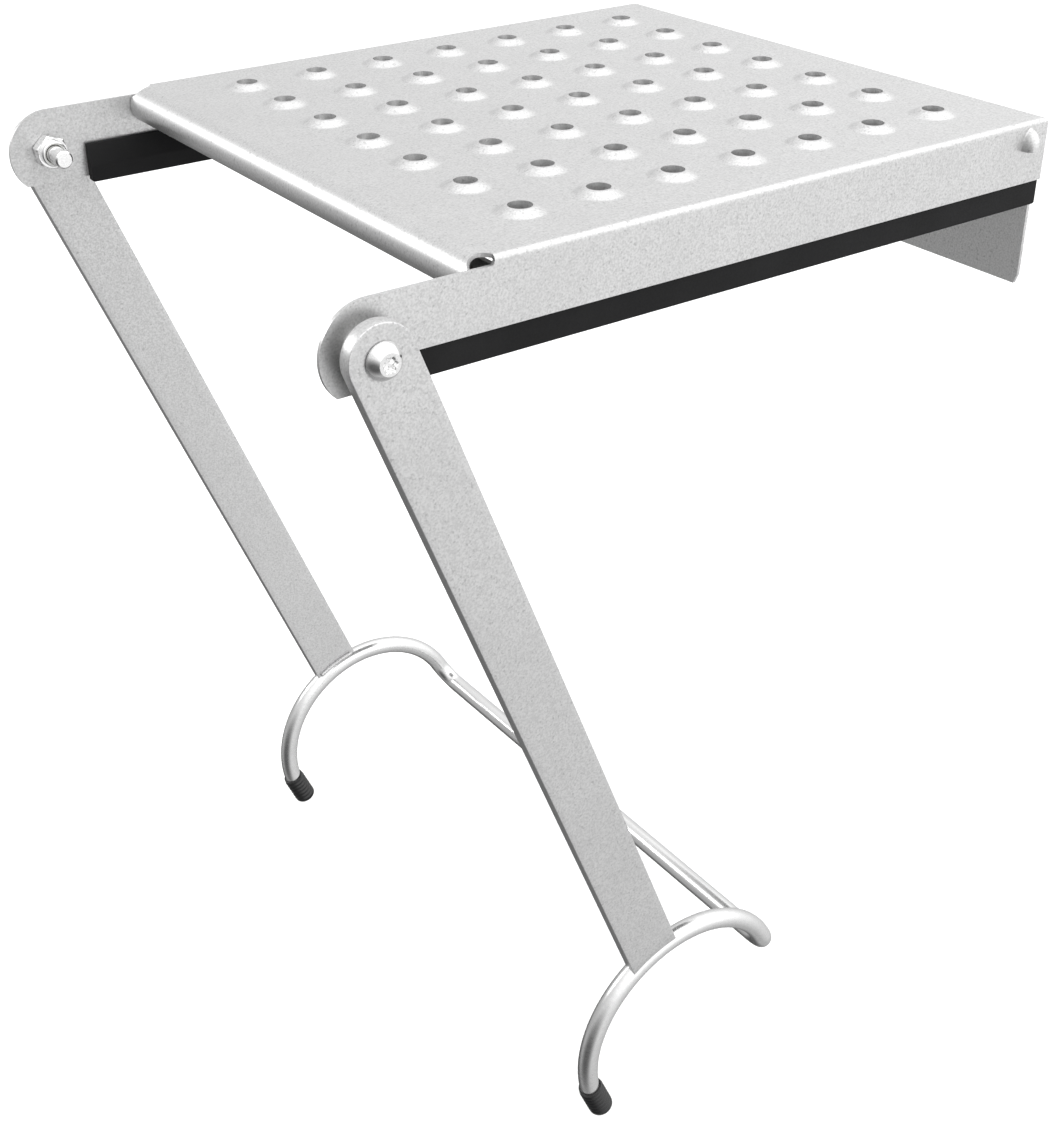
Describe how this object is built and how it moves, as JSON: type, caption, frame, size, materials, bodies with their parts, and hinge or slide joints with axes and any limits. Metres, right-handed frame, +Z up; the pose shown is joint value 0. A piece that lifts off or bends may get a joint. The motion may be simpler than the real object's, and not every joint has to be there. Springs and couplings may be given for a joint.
{
  "type": "hang-on ladder step",
  "caption": "Perforated steel standing step that hangs between two ladder rungs, with a folding strut frame that hooks over the lower rung.",
  "frame": {"origin": "mid-width of the tray, level with the underside of the rubber strips and just in front of the rear plate, where the upper rung carries it", "axes": "+X from the pivot ears back to the down-turned rear plate, +Y across the tray to its left, +Z up out of the deck"},
  "size_m": [0.4457, 0.3914, 0.5562],
  "materials": {
    "galvanised_steel": "satin galvanised",
    "bright_steel": "smooth bright",
    "zinc_plated_steel": "bright zinc",
    "black_rubber": "matt",
    "nylon": "matt natural"
  },
  "bodies": {
    "tray": {"deck_tray": "galvanised_steel", "strip_left": "black_rubber", "pivot_bolt_left": "zinc_plated_steel", "lock_nut_left": "zinc_plated_steel", "nut_insert_left": "nylon", "pivot_spacer_left": "bright_steel", "strip_right": "black_rubber", "pivot_bolt_right": "zinc_plated_steel", "lock_nut_right": "zinc_plated_steel", "nut_insert_right": "nylon", "pivot_spacer_right": "bright_steel"},
    "leg_frame": {"hook_rod": "bright_steel", "leg_left": "galvanised_steel", "rod_cap_left": "black_rubber", "pivot_bush_left": "nylon", "leg_weld_left": "galvanised_steel", "leg_right": "galvanised_steel", "rod_cap_right": "black_rubber", "pivot_bush_right": "nylon", "leg_weld_right": "galvanised_steel"}
  },
  "joints": [
    {"name": "leg_fold", "type": "hinge", "parent": "tray", "child": "leg_frame", "pos_m": [-0.3972, 0, 0.021], "axis": [0, 1, 0], "range_deg": [-67.8, 286]}
  ]
}
